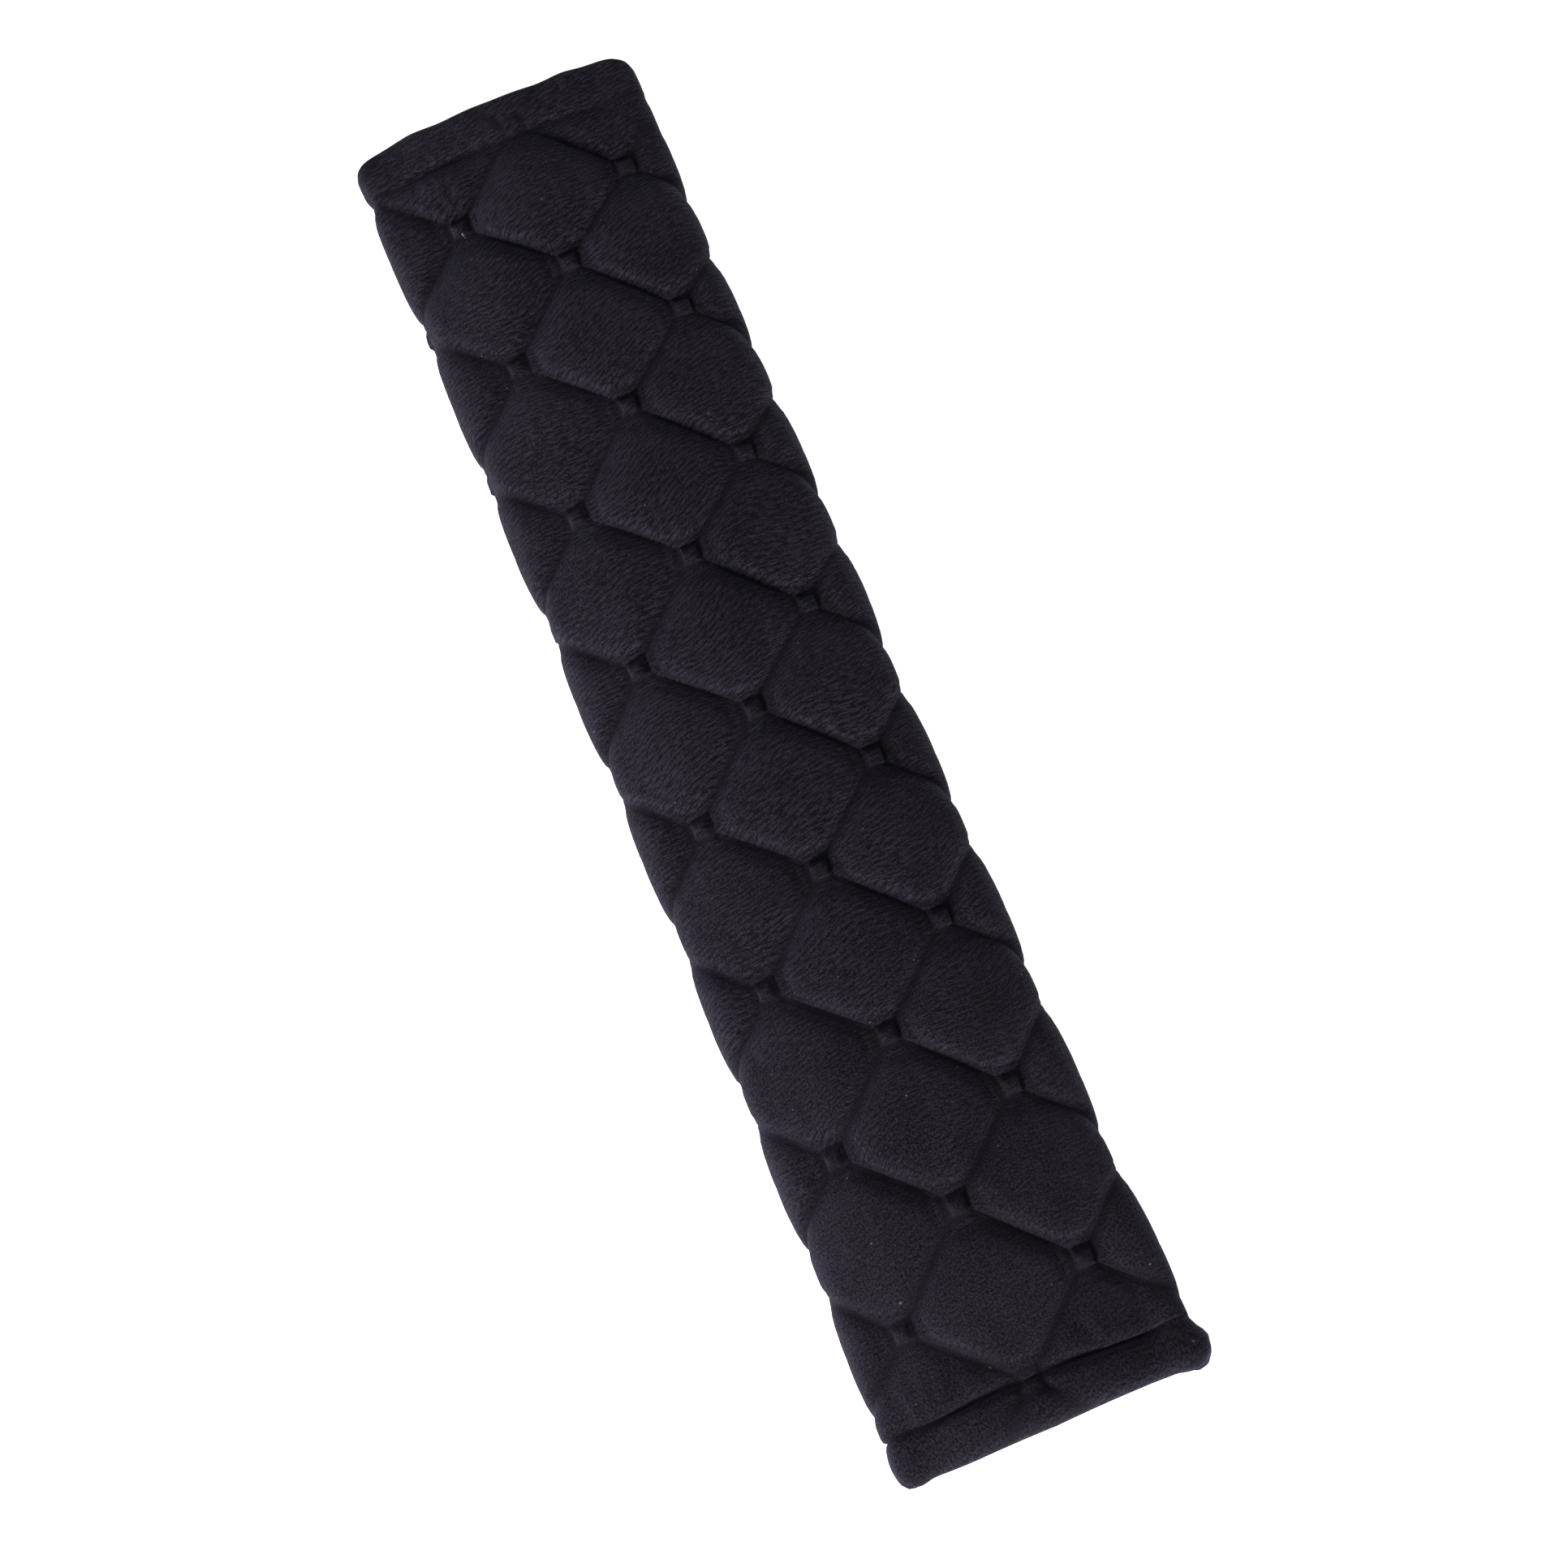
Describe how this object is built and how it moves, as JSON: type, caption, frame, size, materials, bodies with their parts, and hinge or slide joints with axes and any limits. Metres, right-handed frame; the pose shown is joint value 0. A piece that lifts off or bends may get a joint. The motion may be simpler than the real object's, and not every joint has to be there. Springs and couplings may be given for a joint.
{
  "type": "seat belt shoulder pad",
  "caption": "Quilted plush sleeve that wraps round a car's shoulder belt and closes along its back with hook and loop tape.",
  "frame": {"origin": "middle of the closed pad's footprint, on the table", "axes": "+X across the belt, +Y along it towards the end at the top of the picture, +Z out of the quilted front"},
  "size_m": [0.061, 0.31, 0.0176],
  "materials": {
    "plush": "short plush pile",
    "padding": "soft wadding",
    "lining": "plain knit",
    "hook_tape": "nylon hooks",
    "loop_tape": "brushed nylon loops"
  },
  "bodies": {
    "root": {"plush_cover": "plush", "foam_padding": "padding", "inner_lining": "lining", "hook_tape": "hook_tape", "loop_tape": "loop_tape"}
  },
  "joints": []
}
